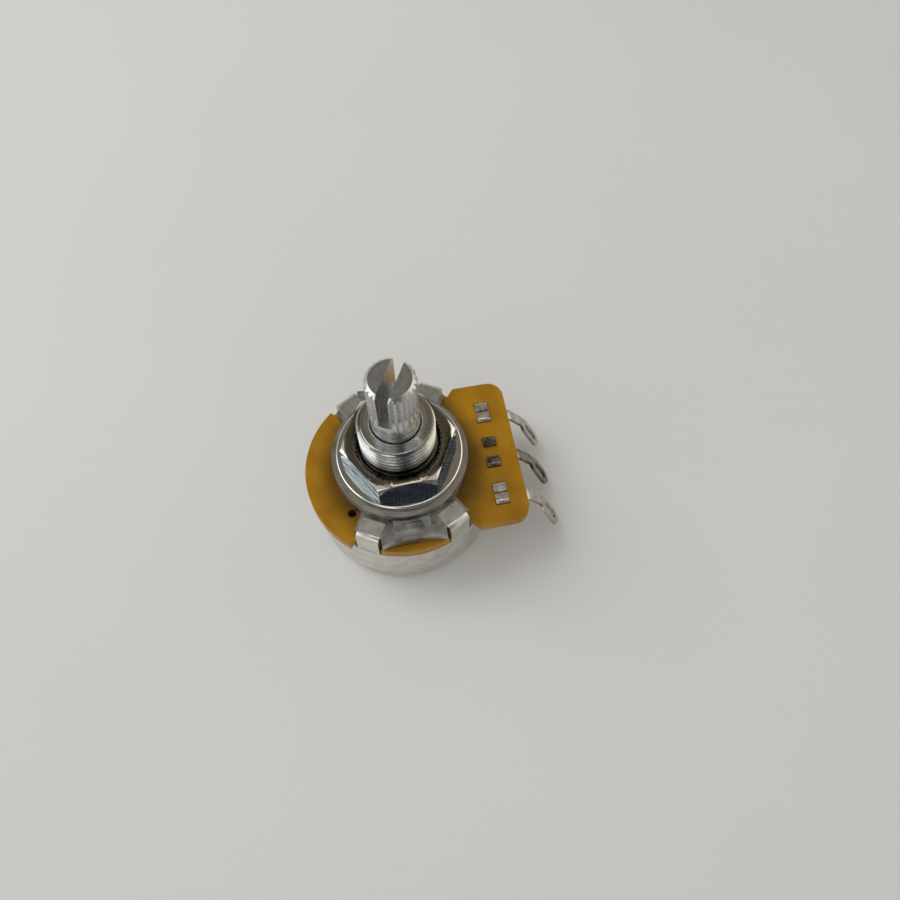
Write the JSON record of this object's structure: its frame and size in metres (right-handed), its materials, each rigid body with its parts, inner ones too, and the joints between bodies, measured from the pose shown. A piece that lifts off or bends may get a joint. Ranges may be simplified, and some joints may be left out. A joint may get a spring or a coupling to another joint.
{
  "type": "rotary potentiometer",
  "caption": "Rotary potentiometer: round metal can, amber board with solder lugs, threaded bushing with nut and washers, split splined shaft.",
  "frame": {"origin": "centre of the can's back face, on the shaft's axis", "axes": "+Z along the shaft, towards its tip; +X towards the solder lugs"},
  "size_m": [0.0326, 0.024, 0.0318],
  "materials": {
    "can_steel": "satin tin plate",
    "phenolic": "amber laminated phenolic, semi-gloss",
    "carbon_ink": "matt printed carbon",
    "silver_ink": "matt printed silver",
    "tinned_brass": "tin-plated, satin",
    "tarnished_brass": "tin-plated, darkened",
    "zinc_casting": "die-cast zinc, thread bright",
    "lock_washer_steel": "nickel-plated, stamped edge",
    "bright_nickel": "bright nickel plate",
    "nut_nickel": "nickel plate, machined faces",
    "shaft_aluminium": "turned and rolled, satin",
    "spring_steel": "dark spring steel",
    "thrust_plastic": "plain",
    "plain_steel": "plated sheet",
    "carrier_plastic": "moulded brown plastic",
    "spring_brass": "spring bronze, bright"
  },
  "bodies": {
    "housing": {"can": "can_steel", "terminal_board": "phenolic", "carbon_track": "carbon_ink", "start_pad": "silver_ink", "end_pad": "silver_ink", "collector_ring": "silver_ink", "start_terminal": "tinned_brass", "wiper_terminal": "tarnished_brass", "end_terminal": "tinned_brass", "bushing_plate": "zinc_casting", "lock_washer": "lock_washer_steel", "flat_washer": "bright_nickel", "hex_nut": "nut_nickel"},
    "rotor": {"shaft": "shaft_aluminium", "retaining_ring": "spring_steel", "thrust_washer": "thrust_plastic", "stop_plate": "plain_steel", "contact_carrier": "carrier_plastic", "wiper_contact": "spring_brass"}
  },
  "joints": [
    {"name": "shaft_turn", "type": "hinge", "parent": "housing", "child": "rotor", "pos_m": [0, 0, 0], "axis": [0, 0, 1], "range_deg": [-150, 150]}
  ]
}
